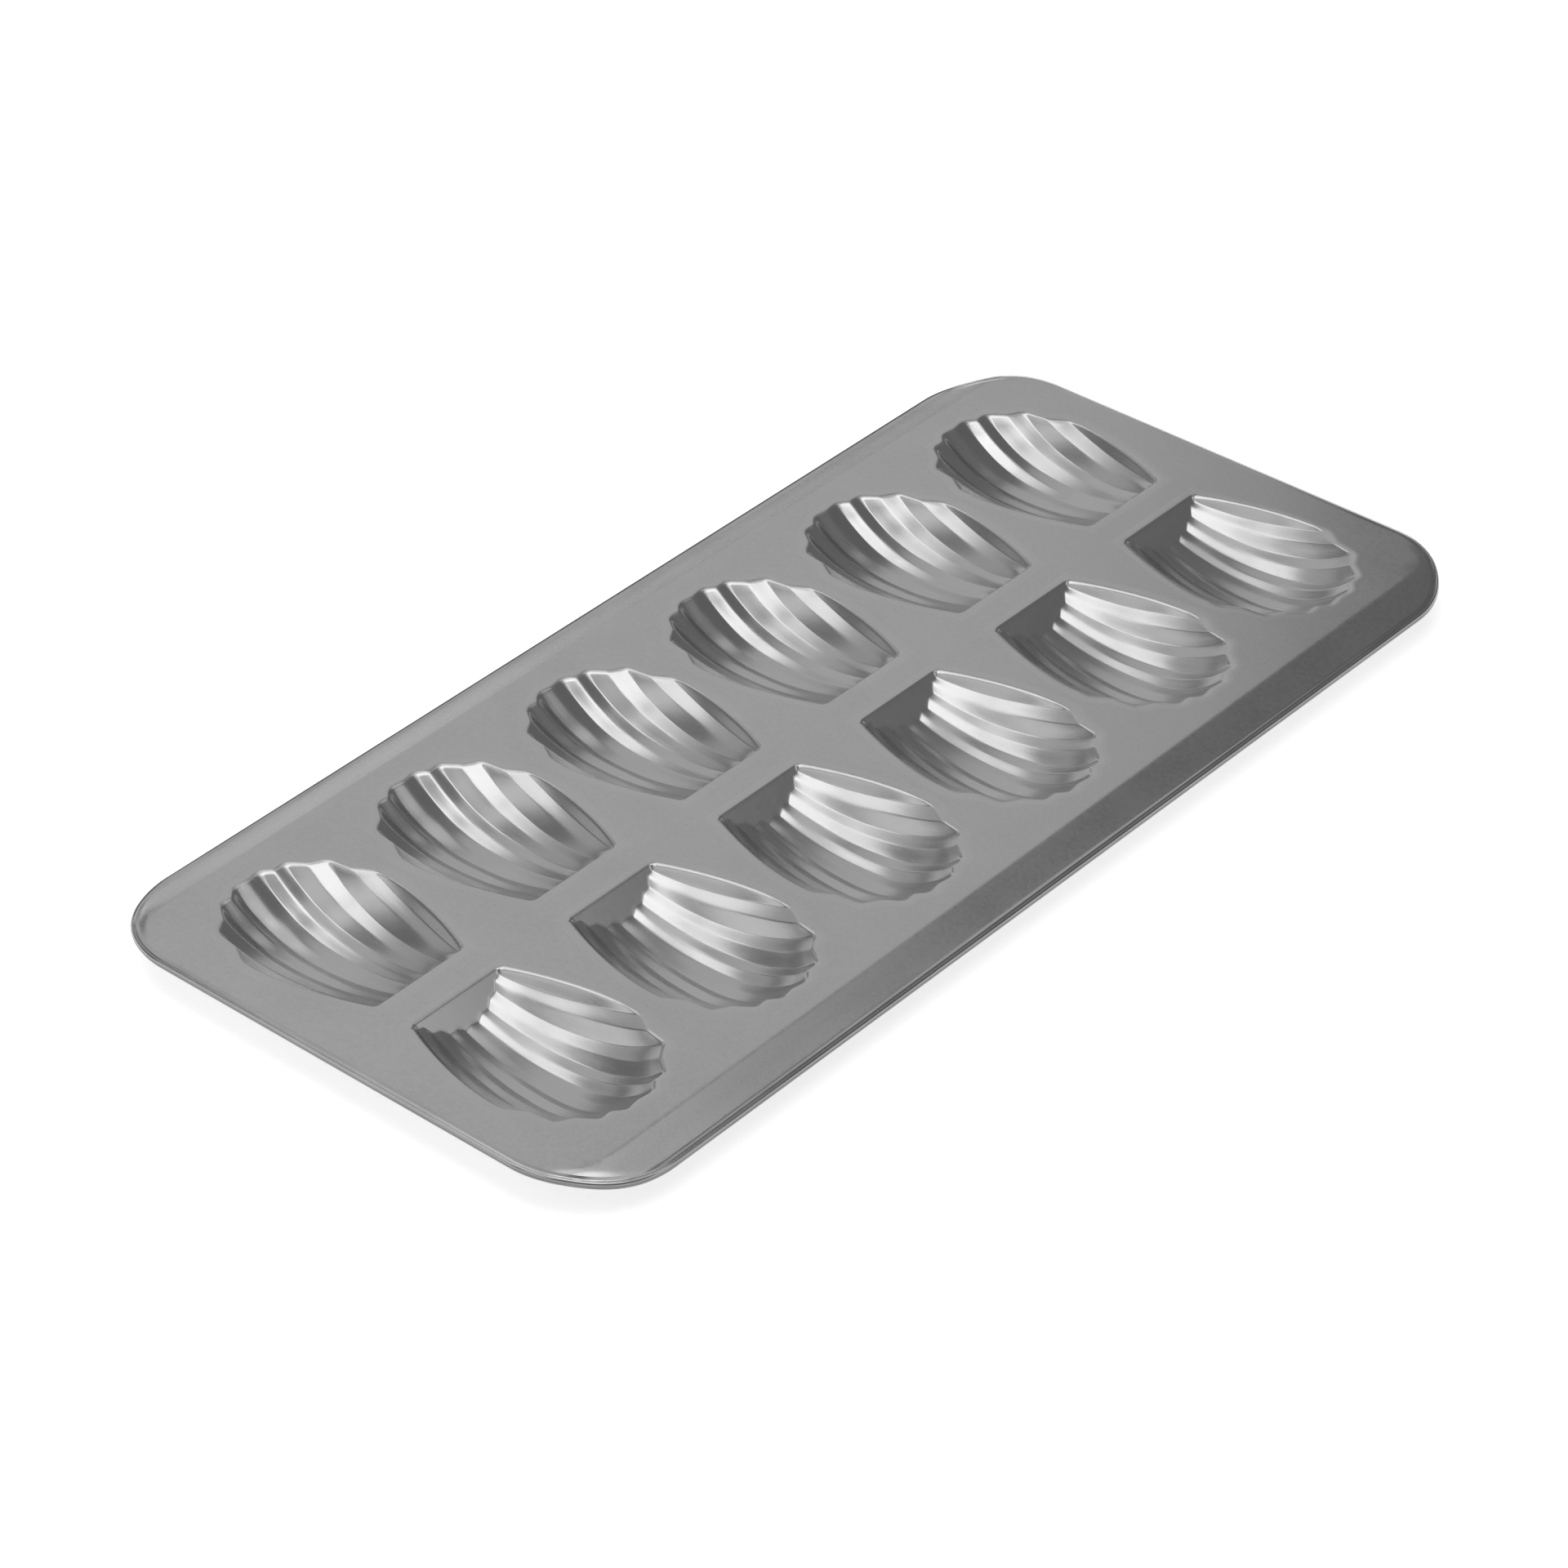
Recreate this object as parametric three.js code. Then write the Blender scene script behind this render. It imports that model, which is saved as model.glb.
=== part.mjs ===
import * as THREE from "three";

// A twelve-hollow madeleine tray pressed from one steel sheet, its edge curled over a wire.
// Millimetres. X runs along the tray, Y across it, and Z is up.
// The origin is at the middle of the footprint, on the surface that the hollows stand on.

// Sheet and rim
const SHEET = 0.6;
const WIRE_DIAMETER = 1.0;
const WIRE_CLEARANCE = 0.1;
const CURL_LEAD = 0.6;
const CURL_START_ANGLE = Math.PI / 2;
const CURL_END_ANGLE = (-5 * Math.PI) / 6;
const CURL_STEPS = 6;
const WIRE_SIDES = 8;

// Layout of the tray
const CUPS_PER_ROW = 6;
const WEB_WIDTH = 8.3;
const HEEL_GAP = 13.4;
const END_MARGIN = 14.7;
const TOE_MARGIN = 9.1;
const CORNER_RADIUS = 31;
const CORNER_STEPS = 8;
const SHORTEST_EDGE = 0.4;

// The long sides step down to a level lip
const STEP_RUN = 9.6;
const STEP_DROP = 2.9;
const STEP_BLEND = 0.9;
const LIP_WIDTH = 1.0;

// One hollow, measured from its straight heel edge to its scalloped toe
const CUP_LENGTH = 69.6;
const CUP_WIDTH = 53.9;
const CUP_DEPTH = 13;
const HEEL_WIDTH = 34.2;
const HEEL_WALL_ANGLE = (53 * Math.PI) / 180;
const DEEPEST_AT = 35;
const HEEL_CORNER_DEPTH = 0.4;
const WIDEST_AT = 40;
const NOTCH_DEPTH = 2.3;
const SHOULDER = 1.3;
const SIDE_POWER = 1.6;
const TOE_POWER = 2.5;

// Valleys between the flutes' flanks, from the middle line outwards
const valleyFootShares = [0.152, 0.439, 0.716, 0.93];
const valleyTipShares = [0.185, 0.465, 0.796, 0.978];
const valleyBowShares = [0, 0.1, -0.2, 0.4];

// Ridges between the valleys, the first on the middle line
const ridgeTipShares = [0, 0.33, 0.66, 0.922];
const ridgeBowShares = [0, 0, 0.1, 0.4];
const ridgeNotchShares = [0.52, 0.83, 0.85, 1];
const RIDGE_START_SHARE = 0.12;
const RIDGE_POWER = 1.5;

// Stations along a flute, from its foot at the heel wall to its tip
const fluteStationShares = [0, 0.2, 0.4, 0.6, 0.77, 0.9, 1];

// Sizes that follow from the ones above
const curlRadius = WIRE_DIAMETER / 2 + WIRE_CLEARANCE + SHEET;
const rimWidth = CURL_LEAD + curlRadius;
const pitch = CUP_WIDTH + WEB_WIDTH;
const creaseY = HEEL_GAP / 2 + CUP_LENGTH + TOE_MARGIN;
const lipY = creaseY + STEP_RUN;
const sheetHalfWidth = lipY + LIP_WIDTH;
const sheetHalfLength = ((CUPS_PER_ROW - 1) / 2) * pitch + CUP_WIDTH / 2 + END_MARGIN - rimWidth;
const sheetCornerRadius = CORNER_RADIUS - rimWidth;
const cornerX = sheetHalfLength - sheetCornerRadius;
const cornerY = sheetHalfWidth - sheetCornerRadius;
const stepBlend = Math.min(STEP_BLEND, LIP_WIDTH);
const cupHalfWidth = CUP_WIDTH / 2;
const heelHalfWidth = HEEL_WIDTH / 2;
const toeRun = CUP_LENGTH - DEEPEST_AT;
const heelRise = CUP_DEPTH * (1 - (heelHalfWidth / cupHalfWidth) ** 2) - HEEL_CORNER_DEPTH;

const mix = THREE.MathUtils.lerp;

// A solid from an indexed list of points.
function solid(points, triangles) {
  const geometry = new THREE.BufferGeometry().setFromPoints(points);
  geometry.setIndex(triangles);
  geometry.computeVertexNormals();
  return geometry;
}

function steel(color, roughness) {
  return new THREE.MeshStandardMaterial({ color, roughness, metalness: 0.9 });
}

// Hollow: depth below the deck of the smooth bowl that the valleys lie in. u is the distance
// from the middle line and v the distance from the heel edge.
function bowlDepth(u, v) {
  const across = (u / cupHalfWidth) ** 2;
  const along =
    v < DEEPEST_AT
      ? heelRise * (1 - v / DEEPEST_AT) ** 2
      : CUP_DEPTH * ((v - DEEPEST_AT) / toeRun) ** TOE_POWER;
  return CUP_DEPTH * (1 - across) - along;
}

// Where the bowl, raised by a given height, meets the leaning heel wall.
function footV(u, raise) {
  const wallRise = Math.tan(HEEL_WALL_ANGLE) * DEEPEST_AT;
  const floor = CUP_DEPTH * (1 - (u / cupHalfWidth) ** 2) - raise;
  const b = wallRise - 2 * heelRise;
  const root = Math.sqrt(b * b - 4 * heelRise * (heelRise - floor));
  return ((root - b) / (2 * heelRise)) * DEEPEST_AT;
}

// The bowl's outline at the toe, where its depth runs out.
function toePoint(u) {
  const along = (1 - (u / cupHalfWidth) ** 2) ** (1 / TOE_POWER);
  return new THREE.Vector2(u, DEEPEST_AT + toeRun * along);
}

function toeNormal(p) {
  const across = (2 * p.x) / cupHalfWidth ** 2;
  const along = (TOE_POWER / toeRun) * ((p.y - DEEPEST_AT) / toeRun) ** (TOE_POWER - 1);
  return new THREE.Vector2(across, along).normalize();
}

function sideU(v) {
  const left = Math.max(0, 1 - v / WIDEST_AT);
  return cupHalfWidth - (cupHalfWidth - heelHalfWidth) * left ** SIDE_POWER;
}

// One line of the shell, down the heel wall and along a valley or ridge to its tip.
function fluteLine(footU, tip, bow, notch) {
  const rise = bowlDepth(tip.x, tip.y);
  const raiseAt = (s) => (notch > 0 ? rise * mix(RIDGE_START_SHARE, 1, s ** RIDGE_POWER) : 0);
  const start = footV(footU, raiseAt(0));
  const line = [new THREE.Vector3(footU, 0, 0)];
  for (const s of fluteStationShares) {
    const u = mix(footU, tip.x, s + bow * s * (1 - s));
    const v = mix(start, tip.y, s);
    const depth = s < 1 ? bowlDepth(u, v) - raiseAt(s) : 0;
    line.push(new THREE.Vector3(u, v, -depth));
  }
  return line;
}

function valleyLine(k) {
  const tip = toePoint(valleyTipShares[k] * cupHalfWidth);
  return fluteLine(valleyFootShares[k] * heelHalfWidth, tip, valleyBowShares[k], 0);
}

function ridgeLine(k) {
  const notch = ridgeNotchShares[k] * NOTCH_DEPTH;
  const outline = toePoint(ridgeTipShares[k] * cupHalfWidth);
  const tip = outline.sub(toeNormal(outline).multiplyScalar(notch));
  const inner = k > 0 ? valleyFootShares[k - 1] : -valleyFootShares[0];
  const footU = ((inner + valleyFootShares[k]) / 2) * heelHalfWidth;
  return fluteLine(footU, tip, ridgeBowShares[k], notch);
}

// The hollow's edge in the deck, from the heel corner to the widest point.
function sideLine() {
  const start = footV(valleyFootShares[3] * heelHalfWidth, 0);
  const line = [new THREE.Vector3(heelHalfWidth, 0, 0)];
  for (const s of fluteStationShares) {
    const v = mix(start, WIDEST_AT, s);
    line.push(new THREE.Vector3(sideU(v), v, 0));
  }
  return line;
}

// All lines from the right side to the left, each with the same number of points.
function shellLines() {
  const right = [sideLine()];
  for (let k = valleyFootShares.length - 1; k >= 0; k--) {
    right.push(valleyLine(k));
    if (k > 0) right.push(ridgeLine(k));
  }
  const flip = (line) => line.map((p) => new THREE.Vector3(-p.x, p.y, p.z));
  const left = right.map(flip).reverse();
  return [...right, ridgeLine(0), ...left];
}

// Outward offset of a closed plan loop, for the shoulder that each hollow keeps in the deck.
function offsetLoop(loop, distance) {
  return loop.map((p, i) => {
    const before = loop[(i + loop.length - 1) % loop.length];
    const after = loop[(i + 1) % loop.length];
    const a = new THREE.Vector2(p.y - before.y, before.x - p.x).normalize();
    const b = new THREE.Vector2(after.y - p.y, p.x - after.x).normalize();
    const n = a.clone().add(b).normalize();
    const reach = distance / Math.max(n.dot(a), Math.SQRT1_2);
    return new THREE.Vector3(p.x + n.x * reach, p.y + n.y * reach, 0);
  });
}

// Points below a surface at the sheet's thickness, measured square to the faces round each point.
function thicken(points, triangles) {
  const faces = points.map(() => []);
  for (let i = 0; i < triangles.length; i += 3) {
    const [a, b, c] = triangles.slice(i, i + 3).map((k) => points[k]);
    const normal = new THREE.Triangle(a, b, c).getNormal(new THREE.Vector3());
    for (const k of triangles.slice(i, i + 3)) faces[k].push(normal);
  }
  return points.map((p, i) => {
    const n = faces[i].reduce((sum, f) => sum.add(f), new THREE.Vector3()).normalize();
    const squareness = faces[i].reduce((sum, f) => sum + f.dot(n), 0) / faces[i].length;
    return p.clone().addScaledVector(n, -SHEET / squareness);
  });
}

function cupShell() {
  const lines = shellLines();
  const rows = lines[0].length;
  const last = lines.length - 1;
  const at = (i, j) => i * rows + j;
  const points = lines.flat();
  const triangles = [];
  for (let i = 0; i < last; i++)
    for (let j = 0; j + 1 < rows; j++) {
      triangles.push(at(i, j), at(i, j + 1), at(i + 1, j + 1));
      triangles.push(at(i, j), at(i + 1, j + 1), at(i + 1, j));
    }
  const loop = [];
  for (let j = 0; j < rows; j++) loop.push(at(0, j));
  for (let i = 1; i < last; i++) loop.push(at(i, rows - 1));
  for (let j = rows - 1; j >= 0; j--) loop.push(at(last, j));
  for (let i = last - 1; i > 0; i--) loop.push(at(i, 0));
  const edge = offsetLoop(loop.map((k) => points[k]), SHOULDER);
  const first = points.length;
  points.push(...edge);
  loop.forEach((k, n) => {
    const next = (n + 1) % loop.length;
    triangles.push(k, first + n, first + next);
    triangles.push(k, first + next, loop[next]);
  });
  return { points, triangles, edge, first };
}

function cupGeometry() {
  const { points, triangles, edge, first } = cupShell();
  const below = thicken(points, triangles);
  edge.forEach((p, n) => below[first + n].set(p.x, p.y, -SHEET));
  const shift = points.length;
  const faces = [...triangles];
  for (let i = 0; i < triangles.length; i += 3)
    faces.push(triangles[i] + shift, triangles[i + 2] + shift, triangles[i + 1] + shift);
  edge.forEach((p, n) => {
    const a = first + n;
    const b = first + ((n + 1) % edge.length);
    faces.push(a, a + shift, b + shift);
    faces.push(a, b + shift, b);
  });
  return solid([...points, ...below], faces);
}

// Height of the sheet's top beside the deck, which falls away beyond each long side's crease.
function sheetZ(y) {
  const ramp = (d) => (Math.abs(d) < stepBlend ? (d + stepBlend) ** 2 / (4 * stepBlend) : Math.max(0, d));
  const slope = STEP_DROP / STEP_RUN;
  return -slope * (ramp(Math.abs(y) - creaseY) - ramp(Math.abs(y) - lipY));
}

// The flat sheet's edge in one quarter, from the short side to the long side.
function cornerStations() {
  const rows = [creaseY, lipY].flatMap((y) => [y - stepBlend, y, y + stepBlend]);
  const needed = rows
    .filter((y) => y > cornerY && y < sheetHalfWidth - SHORTEST_EDGE)
    .map((y) => Math.asin((y - cornerY) / sheetCornerRadius));
  const even = Array.from({ length: CORNER_STEPS + 1 }, (_, i) => ((i / CORNER_STEPS) * Math.PI) / 2);
  const clear = even.filter((a) =>
    needed.every((b) => Math.abs(a - b) * sheetCornerRadius > SHORTEST_EDGE),
  );
  return [...clear, ...needed]
    .sort((a, b) => a - b)
    .map((angle) => {
      const out = new THREE.Vector2(Math.cos(angle), Math.sin(angle));
      const point = out.clone().multiplyScalar(sheetCornerRadius);
      return { x: cornerX + point.x, y: cornerY + point.y, out };
    });
}

// The whole edge, anticlockwise, with the direction that points out of the tray at each station.
function edgeStations() {
  const quarter = cornerStations();
  const turn = (list, sx, sy) =>
    list.map(({ x, y, out }) => ({
      x: x * sx,
      y: y * sy,
      out: new THREE.Vector2(out.x * sx, out.y * sy),
    }));
  const back = [...quarter].reverse();
  return [...turn(quarter, 1, 1), ...turn(back, -1, 1), ...turn(quarter, -1, -1), ...turn(back, 1, -1)];
}

// A profile in (outwards, up) carried round the edge, closed on itself.
function sweep(profile) {
  const stations = edgeStations();
  const points = [];
  for (const { x, y, out } of stations)
    for (const [r, z] of profile)
      points.push(new THREE.Vector3(x + out.x * r, y + out.y * r, sheetZ(y) + z));
  const triangles = [];
  const n = profile.length;
  stations.forEach((_, i) => {
    const next = (i + 1) % stations.length;
    for (let j = 0; j < n; j++) {
      const k = (j + 1) % n;
      triangles.push(i * n + j, next * n + j, next * n + k);
      triangles.push(i * n + j, next * n + k, i * n + k);
    }
  });
  return solid(points, triangles);
}

function ring(radius, from, to, steps) {
  return Array.from({ length: steps + 1 }, (_, i) => {
    const angle = mix(from, to, i / steps);
    return [CURL_LEAD + radius * Math.cos(angle), -curlRadius + radius * Math.sin(angle)];
  });
}

function rimGeometry() {
  const outside = ring(curlRadius, CURL_START_ANGLE, CURL_END_ANGLE, CURL_STEPS);
  const inside = ring(curlRadius - SHEET, CURL_END_ANGLE, CURL_START_ANGLE, CURL_STEPS);
  return sweep([[0, 0], [0, -SHEET], ...inside.reverse(), ...outside.reverse()]);
}

function wireGeometry() {
  const round = ring(WIRE_DIAMETER / 2, 0, 2 * Math.PI, WIRE_SIDES);
  return sweep(round.slice(0, WIRE_SIDES));
}

const foldStart = creaseY - stepBlend;

// One row's flat sheet, between the middle line and the crease, with its openings.
function deckGeometry(side) {
  const quarter = cornerStations().filter((p) => p.y <= foldStart + SHORTEST_EDGE / 2);
  const right = [{ x: sheetHalfLength, y: 0 }, ...quarter];
  const outline = [...right, ...right.map(({ x, y }) => ({ x: -x, y })).reverse()];
  const shape = new THREE.Shape(outline.map(({ x, y }) => new THREE.Vector2(x, y * side)));
  const { edge } = cupShell();
  for (let i = 0; i < CUPS_PER_ROW; i++) {
    const hole = edge.map((p) => new THREE.Vector2(cupX(i) + p.x * side, (HEEL_GAP / 2 + p.y) * side));
    shape.holes.push(new THREE.Path(hole));
  }
  return new THREE.ExtrudeGeometry(shape, { depth: SHEET, bevelEnabled: false }).translate(0, 0, -SHEET);
}

// One long side beyond its crease, as rows that run from corner to corner.
function foldGeometry(side) {
  const rows = cornerStations().filter((p) => p.y >= foldStart - SHORTEST_EDGE / 2);
  const points = [];
  for (const { x, y } of rows)
    for (const [sign, z] of [[1, 0], [-1, 0], [-1, -SHEET], [1, -SHEET]])
      points.push(new THREE.Vector3(x * sign * side, y * side, sheetZ(y) + z));
  const triangles = [0, 1, 2, 0, 2, 3];
  for (let i = 0; i + 1 < rows.length; i++)
    for (let j = 0; j < 4; j++) {
      const a = i * 4 + j;
      const b = i * 4 + ((j + 1) % 4);
      triangles.push(a, a + 4, b + 4, a, b + 4, b);
    }
  const end = (rows.length - 1) * 4;
  triangles.push(end, end + 2, end + 1, end, end + 3, end + 2);
  return solid(points, triangles);
}

function cupX(i) {
  return (i - (CUPS_PER_ROW - 1) / 2) * pitch;
}

function addPiece(group, name, geometry, material) {
  const piece = new THREE.Mesh(geometry, material);
  piece.name = name;
  group.add(piece);
  return piece;
}

// Assembly
const cup = cupGeometry();
cup.computeBoundingBox();
const pan = new THREE.Group();
pan.position.z = -cup.boundingBox.min.z;
const deckSteel = steel(0x9a9a9a, 0.42);
const rimSteel = steel(0x8c8c8c, 0.38);
const wireSteel = steel(0x777777, 0.5);

for (const [row, side] of [["front", -1], ["back", 1]]) {
  addPiece(pan, `deck_${row}`, deckGeometry(side), deckSteel.clone());
  addPiece(pan, `fold_${row}`, foldGeometry(side), deckSteel.clone());
  for (let i = 0; i < CUPS_PER_ROW; i++) {
    const piece = addPiece(pan, `cup_${row}_${i + 1}`, cup.clone(), deckSteel.clone());
    piece.position.set(cupX(i), (side * HEEL_GAP) / 2, 0);
    piece.rotation.z = side > 0 ? 0 : Math.PI;
  }
}
addPiece(pan, "rolled_rim", rimGeometry(), rimSteel);
addPiece(pan, "rim_wire", wireGeometry(), wireSteel);

const group = new THREE.Group();
group.add(pan);

export default group;
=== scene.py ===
import math

import bpy
import numpy as np
from mathutils import Matrix, Vector
from mathutils.geometry import delaunay_2d_cdt


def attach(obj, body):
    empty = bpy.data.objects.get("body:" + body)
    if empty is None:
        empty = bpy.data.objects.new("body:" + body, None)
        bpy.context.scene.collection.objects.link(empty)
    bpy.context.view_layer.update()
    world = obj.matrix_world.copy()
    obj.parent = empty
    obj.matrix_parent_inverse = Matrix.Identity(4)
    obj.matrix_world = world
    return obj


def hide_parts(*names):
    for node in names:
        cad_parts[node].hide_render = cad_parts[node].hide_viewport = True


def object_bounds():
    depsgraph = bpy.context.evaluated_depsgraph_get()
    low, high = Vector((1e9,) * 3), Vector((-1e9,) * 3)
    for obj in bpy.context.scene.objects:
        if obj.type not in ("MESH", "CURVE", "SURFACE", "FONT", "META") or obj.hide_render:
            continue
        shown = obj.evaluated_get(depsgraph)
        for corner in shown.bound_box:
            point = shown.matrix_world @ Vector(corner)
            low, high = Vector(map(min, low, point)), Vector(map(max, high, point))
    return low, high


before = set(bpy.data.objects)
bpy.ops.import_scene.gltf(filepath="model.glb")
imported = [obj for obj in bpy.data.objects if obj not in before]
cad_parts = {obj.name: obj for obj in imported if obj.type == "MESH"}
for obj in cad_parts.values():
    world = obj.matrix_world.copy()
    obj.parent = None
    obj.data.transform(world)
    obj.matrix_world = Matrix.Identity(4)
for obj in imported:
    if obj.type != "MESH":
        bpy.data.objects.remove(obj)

cad_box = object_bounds()

# The tray's sizes and shapes are in millimetres until a mesh is made. The studio is in metres.
MM = 0.001

# The tray's sizes, as the frame has them
SHEET = 0.6
PITCH = 62.2
CUPS_PER_ROW = 6
HEEL_GAP = 13.4
CREASE_Y = 85.4
STEP_RUN = 9.6
STEP_DROP = 2.9
OUTER_RADIUS = 31.0
RIM_INSET = 2.6

# One hollow. u runs across it from its middle line, v from its heel to its toe.
CUP_LENGTH = 69.6
CUP_WIDTH = 53.9
CUP_DEPTH = 13.0
HEEL_WIDTH = 34.2
HEEL_WALL_ANGLE = math.radians(53)
DEEPEST_AT = 35.0
HEEL_CORNER_DEPTH = 0.4
WIDEST_AT = 40.0
NOTCH_DEPTH = 2.3
SIDE_POWER = 1.6
TOE_POWER = 2.5
SHOULDER = 3.2
SHOULDER_FAN_POWER = 4
SLOPE_STEP = 0.001

# Valleys and ridges, from the middle outwards. Feet are shares of half the heel's width, tips are
# shares of half the hollow's width, bows bend the line sideways on its way, and notches are shares
# of the deepest one.
VALLEY_FOOT_SHARES = (0.152, 0.439, 0.716, 0.93)
VALLEY_TIP_SHARES = (0.185, 0.465, 0.796, 0.978)
VALLEY_BOW_SHARES = (0.0, 0.1, -0.2, 0.4)
RIDGE_TIP_SHARES = (0.0, 0.33, 0.66, 0.922)
RIDGE_BOW_SHARES = (0.0, 0.0, 0.1, 0.4)
RIDGE_NOTCH_SHARES = (0.52, 0.83, 0.85, 1.0)

# A ridge's foot lies between two valleys' feet. Its height above the bowl grows from a share of
# that at its tip, and has a short kick just at the foot.
RIDGE_FOOT_SHARE = 0.45
MIDDLE_RIDGE_FOOT_SHARE = 0.5
RIDGE_START_SHARE = 0.12
RIDGE_KICK_SHARE = 0.3
RIDGE_KICK_RUN_SHARE = 0.04
RIDGE_POWER = 1.5

# How far each bend is rounded, measured back from its corner
EDGE_ROUND = 0.55
TIP_ROUND = 1.5
NOTCH_ROUND = 1.25
FOOT_ROUND = 0.5
VALLEY_ROUND = 0.35
TIP_BLUNTNESS = 1.8
SIDE_ROUND = 1.05

# A ridge is round near the heel and a clear edge near the toe
RIDGE_HEEL_ROUND_SHARE = 0.28
RIDGE_TOE_ROUND_SHARES = (0.2, 0.16, 0.1, 0.1)
RIDGE_SHARPENS_FROM_SHARE = 0.12
RIDGE_SHARP_AT_SHARE = 0.6

# The share of a side that a bend may take, next to a plain point and next to another bend
ROOM_BY_POINT = 0.9
ROOM_BY_BEND = 0.45

# What the length of a side counts as when it has none, so that it can be divided by
SHORTEST_SIDE = 1e-9

# Steps along and across the flutes
FLUTE_STEPS = 30
LAST_STEP_SHARE = 0.06
ROUND_STEPS = 4
TOE_ROWS = 2 * ROUND_STEPS
SHOULDER_STEPS = 1
FLUTE_SIDE_STEPS = 1
SIDE_WALL_STEPS = 4
HEEL_WALL_STEPS = 5

half_width = CUP_WIDTH / 2
heel_half = HEEL_WIDTH / 2
toe_run = CUP_LENGTH - DEEPEST_AT
flute_shares = [(1 - LAST_STEP_SHARE) * i / (FLUTE_STEPS - 1) for i in range(FLUTE_STEPS)] + [1.0]
heel_rise = CUP_DEPTH * (1 - (heel_half / half_width) ** 2) - HEEL_CORNER_DEPTH
deck_top = cad_box[1].z / MM
outer_x = cad_box[1].x / MM
outer_y = cad_box[1].y / MM
sheet_x = outer_x - RIM_INSET
sheet_y = outer_y - RIM_INSET
corner_radius = OUTER_RADIUS - RIM_INSET
corner_x = sheet_x - corner_radius
corner_y = sheet_y - corner_radius


def mix(a, b, t):
    return a + (b - a) * t


def smooth(t):
    t = np.clip(t, 0, 1)
    return t * t * (3 - 2 * t)


# The hollow's surface, by the same rules as the frame's solids

def bowl_depth(u, v):
    across = (u / half_width) ** 2
    heel = heel_rise * (1 - v / DEEPEST_AT) ** 2
    toe = CUP_DEPTH * (max(0.0, v - DEEPEST_AT) / toe_run) ** TOE_POWER
    return CUP_DEPTH * (1 - across) - (heel if v < DEEPEST_AT else toe)


def foot_v(u, rise):
    """Where the heel's wall meets a line that lies the given rise above the bowl."""
    wall_rise = math.tan(HEEL_WALL_ANGLE) * DEEPEST_AT
    floor = CUP_DEPTH * (1 - (u / half_width) ** 2) - rise
    b = wall_rise - 2 * heel_rise
    root = math.sqrt(b * b - 4 * heel_rise * (heel_rise - floor))
    return (root - b) / (2 * heel_rise) * DEEPEST_AT


def toe_point(u):
    along = (1 - (u / half_width) ** 2) ** (1 / TOE_POWER)
    return np.array([u, DEEPEST_AT + toe_run * along])


def toe_normal(p):
    across = 2 * p[0] / half_width ** 2
    along = TOE_POWER / toe_run * ((p[1] - DEEPEST_AT) / toe_run) ** (TOE_POWER - 1)
    n = np.array([across, along])
    return n / np.linalg.norm(n)


def side_u(v):
    left = max(0.0, 1 - v / WIDEST_AT)
    return half_width - (half_width - heel_half) * left ** SIDE_POWER


def flute_line(foot_u, tip, bow, notch):
    """Shoulder, heel edge, foot, then the flute's own line to its tip and the shoulder past it."""
    rise = bowl_depth(*tip)

    def raise_at(s):
        kick = RIDGE_KICK_SHARE * math.exp(-s / RIDGE_KICK_RUN_SHARE)
        return rise * (mix(RIDGE_START_SHARE, 1, s ** RIDGE_POWER) + kick) if notch > 0 else 0.0

    start = foot_v(foot_u, raise_at(0))
    line = [(foot_u, -SHOULDER, 0), (foot_u, 0, 0)]
    for i, s in enumerate(flute_shares):
        u = mix(foot_u, tip[0], s + bow * s * (1 - s))
        v = mix(start, tip[1], s)
        line.append((u, v, -(bowl_depth(u, v) - raise_at(s)) if i < FLUTE_STEPS else 0.0))
    n = toe_normal(tip)
    line.append((tip[0] + n[0] * SHOULDER, tip[1] + n[1] * SHOULDER, 0))
    return np.array(line, float)


def valley_line(k):
    tip = toe_point(VALLEY_TIP_SHARES[k] * half_width)
    return flute_line(VALLEY_FOOT_SHARES[k] * heel_half, tip, VALLEY_BOW_SHARES[k], 0)


def ridge_line(k):
    notch = RIDGE_NOTCH_SHARES[k] * NOTCH_DEPTH
    outline = toe_point(RIDGE_TIP_SHARES[k] * half_width)
    tip = outline - toe_normal(outline) * notch
    inner = VALLEY_FOOT_SHARES[k - 1] if k else -VALLEY_FOOT_SHARES[0]
    foot_share = RIDGE_FOOT_SHARE if k else MIDDLE_RIDGE_FOOT_SHARE
    foot_u = mix(inner, VALLEY_FOOT_SHARES[k], foot_share) * heel_half
    return flute_line(foot_u, tip, RIDGE_BOW_SHARES[k], notch)


def side_lines():
    """The hollow's edge in the deck, from the heel corner to the widest point, and its shoulder."""
    start = foot_v(VALLEY_FOOT_SHARES[-1] * heel_half, 0)
    edge = [(heel_half, -SHOULDER, 0), (heel_half, 0, 0)]
    outer = [(heel_half + SHOULDER, -SHOULDER, 0), (heel_half + SHOULDER, 0, 0)]
    fan = SHOULDER / 2
    for s in flute_shares:
        v = mix(start, WIDEST_AT, s)
        edge.append((side_u(v), v, 0))
        slope = (side_u(v + SLOPE_STEP) - side_u(v)) / SLOPE_STEP
        n = np.array([1, -slope]) / math.hypot(1, slope)
        lead = fan * s ** SHOULDER_FAN_POWER
        outer.append((side_u(v) + n[0] * SHOULDER, v + n[1] * SHOULDER - lead, 0))
    edge.append((half_width + SHOULDER, WIDEST_AT + fan, 0))
    outer.append((half_width + SHOULDER, WIDEST_AT, 0))
    return np.array(outer, float), np.array(edge, float)


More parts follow.
